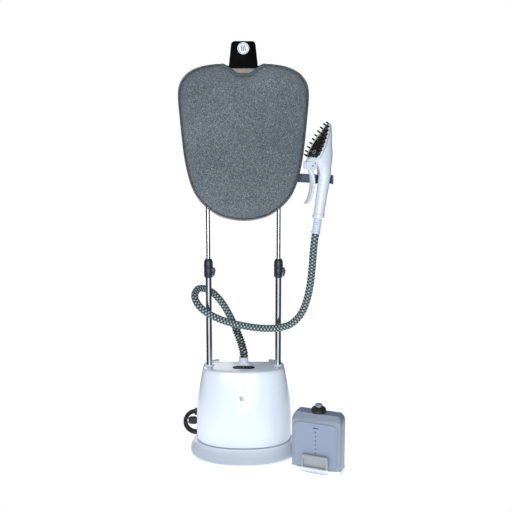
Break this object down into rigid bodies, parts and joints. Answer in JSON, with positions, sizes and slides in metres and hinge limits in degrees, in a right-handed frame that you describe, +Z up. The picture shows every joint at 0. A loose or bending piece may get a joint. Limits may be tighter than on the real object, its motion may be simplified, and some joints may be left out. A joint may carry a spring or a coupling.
{
  "type": "garment steamer",
  "caption": "Standing garment steamer with a padded board on telescopic poles, a steam hose with an iron-shaped brush handset in a side holder, and a separate water tank beside the base.",
  "frame": {"origin": "on the floor midway between the two poles, under the flat underside of the base", "axes": "+Z up along the poles, the front with the display faces -Y, +X to the viewer's right"},
  "size_m": [0.5456, 0.4051, 1.352],
  "materials": {
    "white_shell": "gloss",
    "grey_plastic": "matte",
    "slate_plastic": "matte",
    "holder_plastic": "matte",
    "black_gloss": "gloss",
    "black_rubber": "matte",
    "chrome": "polished",
    "pad_fabric": "woven",
    "beige_board": "matte",
    "plate_metal": "coated",
    "boiler_metal": "cast",
    "pipe_metal": "satin",
    "circuit_board": "matte",
    "hose_braid": "woven cover",
    "cuff_plastic": "satin",
    "tank_plastic": "translucent",
    "grip_plastic": "satin"
  },
  "bodies": {
    "base": {"base_shell": "white_shell", "base_underside_cover": "grey_plastic", "body_shell": "white_shell", "top_cover": "white_shell", "tank_bay_liner": "white_shell", "water_inlet_seat": "grey_plastic", "display_window": "black_gloss", "hose_collar": "white_shell", "boiler": "boiler_metal", "water_pump": "grey_plastic", "steam_pipe": "pipe_metal", "water_feed_hose": "black_rubber", "control_board": "circuit_board", "hose_guard": "black_rubber", "steam_hose": "hose_braid", "cord_gland": "black_rubber", "power_cord": "black_rubber", "cord_coil": "black_rubber", "cord_tie": "black_rubber", "power_plug": "black_rubber", "foot_front_left": "black_rubber", "foot_front_right": "black_rubber", "foot_rear_left": "black_rubber", "foot_rear_right": "black_rubber", "pole_ring_left": "white_shell", "lower_tube_left": "chrome", "clamp_collar_left": "slate_plastic", "clamp_cap_left": "slate_plastic", "pole_ring_right": "white_shell", "lower_tube_right": "chrome", "clamp_collar_right": "slate_plastic", "clamp_cap_right": "slate_plastic"},
    "mast": {"upper_tube_left": "chrome", "upper_tube_right": "chrome", "top_bridge": "slate_plastic", "lower_bridge": "slate_plastic", "board_panel": "beige_board", "board_pad": "pad_fabric", "hanger_head": "black_gloss", "head_badge": "white_shell", "holder_clip": "holder_plastic", "holder_cradle": "holder_plastic"},
    "handset": {"handset_shell": "white_shell", "steam_plate": "plate_metal", "brush_frame": "white_shell", "brush_bristles": "black_rubber", "lever_pin": "slate_plastic", "hose_cuff": "cuff_plastic"},
    "tank": {"tank_base": "white_shell", "tank_shell": "tank_plastic", "tank_grip": "grip_plastic"},
    "squeeze_lever_body": {"squeeze_lever": "white_shell"},
    "steam_switch_body": {"steam_switch": "grey_plastic"},
    "clamp_lever_left_body": {"clamp_lever_left": "slate_plastic"},
    "clamp_lever_right_body": {"clamp_lever_right": "slate_plastic"},
    "tank_cap_body": {"tank_cap": "black_rubber"},
    "tank_valve_body": {"tank_valve": "tank_plastic"}
  },
  "joints": [
    {"name": "mast_slide", "type": "slide", "parent": "base", "child": "mast", "axis": [0, 0, 1], "range_m": [-0.195, 0.05], "deforming": ["steam_hose"]},
    {"name": "clamp_lever_left_flip", "type": "hinge", "parent": "base", "child": "clamp_lever_left_body", "pos_m": [-0.097, 0, 0.6255], "axis": [0, -1, 0], "range_deg": [0, 100]},
    {"name": "clamp_lever_right_flip", "type": "hinge", "parent": "base", "child": "clamp_lever_right_body", "pos_m": [0.133, 0, 0.6255], "axis": [0, -1, 0], "range_deg": [0, 100]},
    {"name": "handset_tip_out", "type": "hinge", "parent": "mast", "child": "handset", "pos_m": [0.2294, -0.085, 0.759], "axis": [1, 0, 0], "range_deg": [0, 35], "deforming": ["steam_hose"]},
    {"name": "squeeze_lever_pull", "type": "hinge", "parent": "handset", "child": "squeeze_lever_body", "pos_m": [0.21035, -0.096, 0.973], "axis": [0.5, -0.866, 0], "range_deg": [0, 8], "stiffness_Nm_per_rad": 0.5, "springref_deg": -8.59},
    {"name": "steam_switch_press", "type": "slide", "parent": "handset", "child": "steam_switch_body", "axis": [0.866, 0.5, 0], "range_m": [0, 0.002], "stiffness_N_per_m": 300, "springref_m": -0.002},
    {"name": "tank_lift", "type": "slide", "parent": "base", "child": "tank", "axis": [0, 0, 1], "range_m": [0, 0.15]},
    {"name": "tank_cap_unscrew", "type": "hinge", "parent": "tank", "child": "tank_cap_body", "pos_m": [0.2405, -0.168, 0.204], "axis": [0, 0, 1], "range_deg": [0, 180]},
    {"name": "tank_valve_press", "type": "slide", "parent": "tank_cap_body", "child": "tank_valve_body", "axis": [0, 0, -1], "range_m": [0, 0.004], "stiffness_N_per_m": 250, "springref_m": -0.003}
  ]
}
